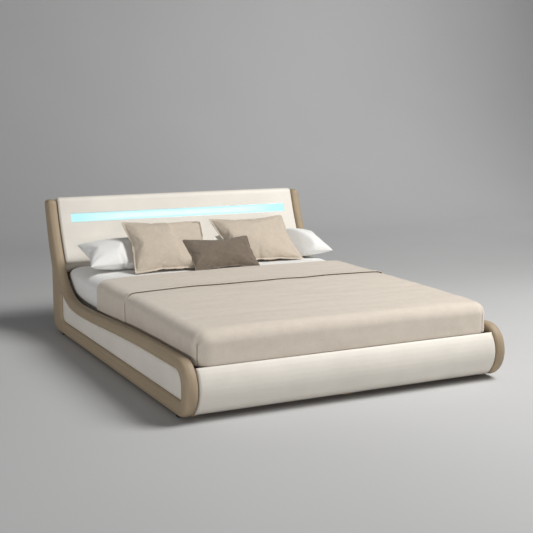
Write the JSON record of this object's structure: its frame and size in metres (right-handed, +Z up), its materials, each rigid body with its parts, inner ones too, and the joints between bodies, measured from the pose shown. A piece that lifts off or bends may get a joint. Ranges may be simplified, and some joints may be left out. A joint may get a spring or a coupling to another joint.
{
  "type": "upholstered storage bed",
  "caption": "Low upholstered double bed with looped side frames that sweep up into a lit headboard, a lift-up mattress base over a storage box, and dressed bedding.",
  "frame": {"origin": "on the floor, under the middle of the bed's outline", "axes": "+Y from the foot to the headboard, +X to the right seen from the foot, +Z up"},
  "size_m": [1.72, 2.283, 0.799],
  "materials": {
    "taupe_leather": "soft taupe leather, low sheen",
    "cream_leather": "soft cream leather, low sheen",
    "white_cotton": "plain white cotton",
    "mattress_ticking": "ivory woven ticking",
    "duvet_cotton": "sand brushed cotton",
    "sand_linen": "sand linen weave",
    "dark_linen": "dark taupe linen weave",
    "birch": "lacquered birch",
    "plywood": "raw plywood",
    "black_steel": "black powder coat",
    "chrome_rod": "polished",
    "aluminium": "anodised",
    "opal_diffuser": "opal, lit aqua from behind",
    "strip_board": "white circuit strip",
    "black_plastic": "moulded, matt",
    "grey_rubber": "matt slat holder"
  },
  "bodies": {
    "bed_frame": {"side_frame_left": "taupe_leather", "side_frame_right": "taupe_leather", "side_panel_left": "cream_leather", "side_panel_right": "cream_leather", "hinge_bracket_left": "black_steel", "hinge_bracket_right": "black_steel", "foot_panel": "cream_leather", "foot_board": "plywood", "centre_beam": "birch", "floor_ledger_left": "birch", "floor_ledger_right": "birch", "support_rail_left": "birch", "support_rail_right": "birch", "floor_panel_left": "plywood", "floor_panel_right": "plywood", "head_rail": "taupe_leather", "power_socket": "black_plastic", "headboard_back": "taupe_leather", "headboard_pad": "cream_leather", "led_channel": "aluminium", "led_diffuser": "opal_diffuser", "led_strip": "strip_board", "glide_front_left": "black_plastic", "glide_front_right": "black_plastic", "glide_rear_left": "black_plastic", "glide_rear_right": "black_plastic", "glide_front_middle": "black_plastic", "glide_rear_middle": "black_plastic"},
    "lift_base": {"lift_frame": "black_steel", "lift_arm_left": "black_steel", "lift_arm_right": "black_steel", "slat_strip_left": "grey_rubber", "slat_strip_right": "grey_rubber", "slat_strip_centre": "grey_rubber", "slat_01": "birch", "slat_02": "birch", "slat_03": "birch", "slat_04": "birch", "slat_05": "birch", "slat_06": "birch", "slat_07": "birch", "slat_08": "birch", "slat_09": "birch", "slat_10": "birch", "slat_11": "birch", "mattress": "mattress_ticking", "fitted_sheet": "white_cotton", "duvet": "duvet_cotton", "pillow_left": "white_cotton", "pillow_right": "white_cotton", "cushion_left": "sand_linen", "cushion_right": "sand_linen", "lumbar_cushion": "dark_linen"},
    "strut_cylinder_body_left": {"strut_cylinder_left": "black_steel"},
    "strut_cylinder_body_right": {"strut_cylinder_right": "black_steel"},
    "strut_rod_body_left": {"strut_rod_left": "chrome_rod"},
    "strut_rod_body_right": {"strut_rod_right": "chrome_rod"}
  },
  "joints": [
    {"name": "base_lift", "type": "hinge", "parent": "bed_frame", "child": "lift_base", "pos_m": [0, 0.8905, 0.33], "axis": [-1, 0, 0], "range_deg": [0, 28]},
    {"name": "strut_swing_left", "type": "hinge", "parent": "bed_frame", "child": "strut_cylinder_body_left", "pos_m": [-0.787, 0.8905, 0.085], "axis": [-1, 0, 0], "range_deg": [0, 22]},
    {"name": "strut_swing_right", "type": "hinge", "parent": "bed_frame", "child": "strut_cylinder_body_right", "pos_m": [0.787, 0.8905, 0.085], "axis": [-1, 0, 0], "range_deg": [0, 22]},
    {"name": "strut_slide_left", "type": "slide", "parent": "strut_cylinder_body_left", "child": "strut_rod_body_left", "axis": [0, -0.9722, 0.2343], "range_m": [0, 0.112]},
    {"name": "strut_slide_right", "type": "slide", "parent": "strut_cylinder_body_right", "child": "strut_rod_body_right", "axis": [0, -0.9722, 0.2343], "range_m": [0, 0.112]}
  ],
  "couplings": [
    {"joint": "strut_swing_left", "follows": "base_lift", "ratio": 0.7568},
    {"joint": "strut_swing_right", "follows": "base_lift", "ratio": 0.7568},
    {"joint": "strut_slide_left", "follows": "base_lift", "m_per_rad": 0.2241},
    {"joint": "strut_slide_right", "follows": "base_lift", "m_per_rad": 0.2241}
  ]
}
